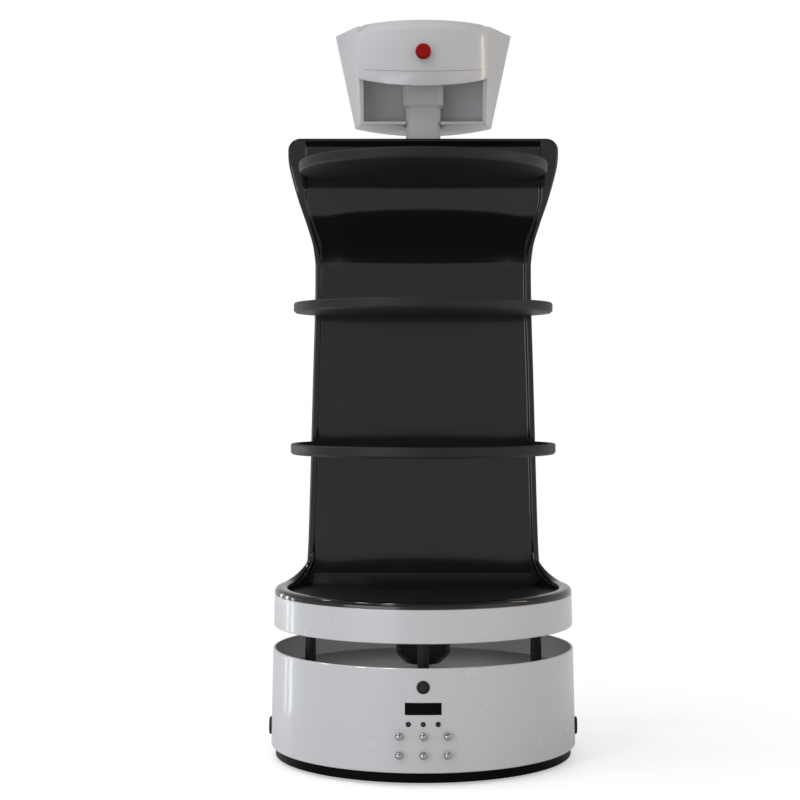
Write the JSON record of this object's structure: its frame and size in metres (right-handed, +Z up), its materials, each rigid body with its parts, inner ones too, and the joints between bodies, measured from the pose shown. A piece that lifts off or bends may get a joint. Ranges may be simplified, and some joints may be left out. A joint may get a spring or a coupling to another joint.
{
  "type": "tray delivery robot",
  "caption": "Wheeled delivery robot with a round drive base, a scanner gap, stacked round trays on a back column and a tilted screen head.",
  "frame": {"origin": "on the floor under the middle of the round base", "axes": "+Z up, +Y the way it drives and the screen faces, +X to the right seen from behind"},
  "size_m": [0.5068, 0.5114, 1.218],
  "materials": {
    "white_shell": "gloss white",
    "black_gloss": "gloss black",
    "satin_black": "satin black",
    "black_window": "dark window",
    "dark_plate": "dark grey powder coat",
    "battery_case": "plain case",
    "contact_metal": "plated",
    "grey_neck": "satin light grey",
    "screen_glass": "dark screen",
    "red_button": "red",
    "tyre": "rubber",
    "wheel_hub": "cast",
    "bracket_steel": "zinc plated",
    "caster_tread": "grey rubber"
  },
  "bodies": {
    "base": {"base_shell": "white_shell", "base_skirt": "black_gloss", "battery_block": "battery_case", "charge_contacts": "contact_metal", "chassis_plate": "dark_plate", "collar_plate": "dark_plate", "collar_ring": "white_shell", "column_cover": "black_gloss", "deck_plate": "dark_plate", "drive_bracket_left": "bracket_steel", "drive_bracket_right": "bracket_steel", "head_shell": "white_shell", "neck_post": "grey_neck", "neck_sleeve": "grey_neck", "post_front": "satin_black", "post_left": "satin_black", "post_rear": "satin_black", "post_right": "satin_black", "power_bezel": "satin_black", "power_button": "satin_black", "scanner_head": "black_gloss", "scanner_mount": "satin_black", "screen_bezel": "black_gloss", "screen_glass": "screen_glass", "side_cap_left": "satin_black", "side_cap_right": "satin_black", "sockets": "satin_black", "status_window": "black_window", "stop_button": "red_button", "stop_collar": "grey_neck", "tray_column": "black_gloss", "tray_lower": "satin_black", "tray_middle": "satin_black", "tray_upper": "satin_black"},
    "drive_wheel_left": {"drive_tyre_left": "tyre", "drive_hub_left": "wheel_hub"},
    "drive_wheel_right": {"drive_tyre_right": "tyre", "drive_hub_right": "wheel_hub"},
    "caster_swivel_front_left": {"caster_fork_front_left": "bracket_steel"},
    "caster_roll_front_left": {"caster_wheel_front_left": "caster_tread"},
    "caster_swivel_front_right": {"caster_fork_front_right": "bracket_steel"},
    "caster_roll_front_right": {"caster_wheel_front_right": "caster_tread"},
    "caster_swivel_rear_left": {"caster_fork_rear_left": "bracket_steel"},
    "caster_roll_rear_left": {"caster_wheel_rear_left": "caster_tread"},
    "caster_swivel_rear_right": {"caster_fork_rear_right": "bracket_steel"},
    "caster_roll_rear_right": {"caster_wheel_rear_right": "caster_tread"}
  },
  "joints": [
    {"name": "drive_spin_left", "type": "hinge", "parent": "base", "child": "drive_wheel_left", "pos_m": [-0.188, 0, 0.0625], "axis": [1, 0, 0], "continuous": true},
    {"name": "drive_spin_right", "type": "hinge", "parent": "base", "child": "drive_wheel_right", "pos_m": [0.188, 0, 0.0625], "axis": [1, 0, 0], "continuous": true},
    {"name": "caster_turn_front_left", "type": "hinge", "parent": "base", "child": "caster_swivel_front_left", "pos_m": [-0.112, 0.138, 0.07], "axis": [0, 0, 1], "continuous": true},
    {"name": "caster_spin_front_left", "type": "hinge", "parent": "caster_swivel_front_left", "child": "caster_roll_front_left", "pos_m": [-0.112, 0.121, 0.025], "axis": [1, 0, 0], "continuous": true},
    {"name": "caster_turn_front_right", "type": "hinge", "parent": "base", "child": "caster_swivel_front_right", "pos_m": [0.112, 0.138, 0.07], "axis": [0, 0, 1], "continuous": true},
    {"name": "caster_spin_front_right", "type": "hinge", "parent": "caster_swivel_front_right", "child": "caster_roll_front_right", "pos_m": [0.112, 0.121, 0.025], "axis": [1, 0, 0], "continuous": true},
    {"name": "caster_turn_rear_left", "type": "hinge", "parent": "base", "child": "caster_swivel_rear_left", "pos_m": [-0.112, -0.138, 0.07], "axis": [0, 0, 1], "continuous": true},
    {"name": "caster_spin_rear_left", "type": "hinge", "parent": "caster_swivel_rear_left", "child": "caster_roll_rear_left", "pos_m": [-0.112, -0.155, 0.025], "axis": [1, 0, 0], "continuous": true},
    {"name": "caster_turn_rear_right", "type": "hinge", "parent": "base", "child": "caster_swivel_rear_right", "pos_m": [0.112, -0.138, 0.07], "axis": [0, 0, 1], "continuous": true},
    {"name": "caster_spin_rear_right", "type": "hinge", "parent": "caster_swivel_rear_right", "child": "caster_roll_rear_right", "pos_m": [0.112, -0.155, 0.025], "axis": [1, 0, 0], "continuous": true}
  ]
}
